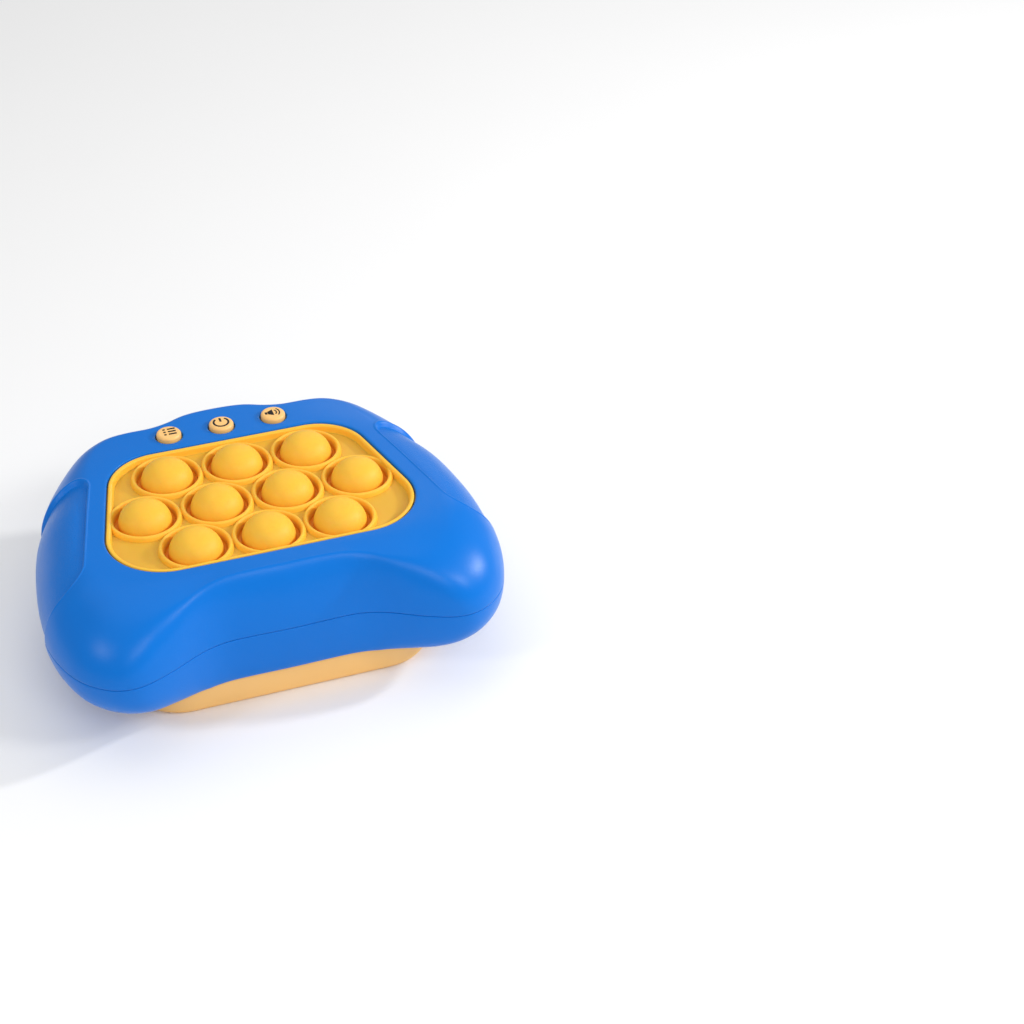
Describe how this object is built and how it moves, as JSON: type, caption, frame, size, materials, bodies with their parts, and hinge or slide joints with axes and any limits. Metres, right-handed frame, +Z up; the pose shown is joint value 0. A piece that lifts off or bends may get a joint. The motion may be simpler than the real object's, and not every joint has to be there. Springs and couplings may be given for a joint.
{
  "type": "electronic bubble pop game",
  "caption": "Handheld game with a game-pad-shaped two-part case, a silicone sheet of pop bubbles, keys above it and a sprung plate underneath that pops them back up.",
  "frame": {"origin": "under the middle of the case, on the surface that the game stands on", "axes": "+Z up out of the bubbles, +X to the player's right, +Y away from the player towards the keys"},
  "size_m": [0.1646, 0.1296, 0.0602],
  "materials": {
    "blue_abs": "satin, fine-grained moulded ABS",
    "yellow_silicone": "matte-satin silicone",
    "peach_abs": "satin moulded ABS",
    "white_abs": "natural moulded ABS",
    "board_laminate": "solder-masked glass-fibre board",
    "steel": "plated",
    "cell_jacket": "printed foil jacket, left blank",
    "speaker_black": "matte paper and moulded rim"
  },
  "bodies": {
    "casing": {"front_shell": "blue_abs", "rear_shell": "blue_abs", "bubble_sheet": "yellow_silicone", "light_frame": "white_abs", "circuit_board": "board_laminate", "key_board": "board_laminate", "speaker": "speaker_black", "return_spring_1": "steel", "return_spring_2": "steel", "return_spring_3": "steel", "return_spring_4": "steel", "case_screw_1": "steel", "case_screw_2": "steel", "case_screw_3": "steel", "case_screw_4": "steel", "frame_screw_1": "steel", "frame_screw_2": "steel", "frame_screw_3": "steel", "frame_screw_4": "steel", "board_screw_1": "steel", "board_screw_2": "steel", "board_screw_3": "steel", "board_screw_4": "steel"},
    "reset": {"reset_plate": "peach_abs", "pusher_frame": "white_abs", "battery_door": "peach_abs", "door_screw": "steel", "battery_contact_left": "steel", "battery_contact_right": "steel", "battery_cell_1": "cell_jacket", "battery_cell_2": "cell_jacket", "battery_cell_3": "cell_jacket"},
    "bubble_01": {"bubble_01": "yellow_silicone"},
    "bubble_02": {"bubble_02": "yellow_silicone"},
    "bubble_03": {"bubble_03": "yellow_silicone"},
    "bubble_04": {"bubble_04": "yellow_silicone"},
    "bubble_05": {"bubble_05": "yellow_silicone"},
    "bubble_06": {"bubble_06": "yellow_silicone"},
    "bubble_07": {"bubble_07": "yellow_silicone"},
    "bubble_08": {"bubble_08": "yellow_silicone"},
    "bubble_09": {"bubble_09": "yellow_silicone"},
    "bubble_10": {"bubble_10": "yellow_silicone"},
    "key_menu": {"key_menu": "peach_abs"},
    "key_power": {"key_power": "peach_abs"},
    "key_sound": {"key_sound": "peach_abs"}
  },
  "joints": [
    {"name": "reset_press", "type": "slide", "parent": "casing", "child": "reset", "axis": [0, 0, -1], "range_m": [-0.008, 0], "stiffness_N_per_m": 1500, "springref_m": 0.005, "deforming": ["return_spring_1", "return_spring_2", "return_spring_3", "return_spring_4"]},
    {"name": "bubble_01_pop", "type": "slide", "parent": "casing", "child": "bubble_01", "axis": [0, 0, -1], "range_m": [0, 0.013]},
    {"name": "bubble_02_pop", "type": "slide", "parent": "casing", "child": "bubble_02", "axis": [0, 0, -1], "range_m": [0, 0.013]},
    {"name": "bubble_03_pop", "type": "slide", "parent": "casing", "child": "bubble_03", "axis": [0, 0, -1], "range_m": [0, 0.013]},
    {"name": "bubble_04_pop", "type": "slide", "parent": "casing", "child": "bubble_04", "axis": [0, 0, -1], "range_m": [0, 0.013]},
    {"name": "bubble_05_pop", "type": "slide", "parent": "casing", "child": "bubble_05", "axis": [0, 0, -1], "range_m": [0, 0.013]},
    {"name": "bubble_06_pop", "type": "slide", "parent": "casing", "child": "bubble_06", "axis": [0, 0, -1], "range_m": [0, 0.013]},
    {"name": "bubble_07_pop", "type": "slide", "parent": "casing", "child": "bubble_07", "axis": [0, 0, -1], "range_m": [0, 0.013]},
    {"name": "bubble_08_pop", "type": "slide", "parent": "casing", "child": "bubble_08", "axis": [0, 0, -1], "range_m": [0, 0.013]},
    {"name": "bubble_09_pop", "type": "slide", "parent": "casing", "child": "bubble_09", "axis": [0, 0, -1], "range_m": [0, 0.013]},
    {"name": "bubble_10_pop", "type": "slide", "parent": "casing", "child": "bubble_10", "axis": [0, 0, -1], "range_m": [0, 0.013]},
    {"name": "key_menu_press", "type": "slide", "parent": "casing", "child": "key_menu", "axis": [0, 0, -1], "range_m": [0, 0.001], "stiffness_N_per_m": 300},
    {"name": "key_power_press", "type": "slide", "parent": "casing", "child": "key_power", "axis": [0, 0, -1], "range_m": [0, 0.001], "stiffness_N_per_m": 300},
    {"name": "key_sound_press", "type": "slide", "parent": "casing", "child": "key_sound", "axis": [0, 0, -1], "range_m": [0, 0.001], "stiffness_N_per_m": 300}
  ]
}
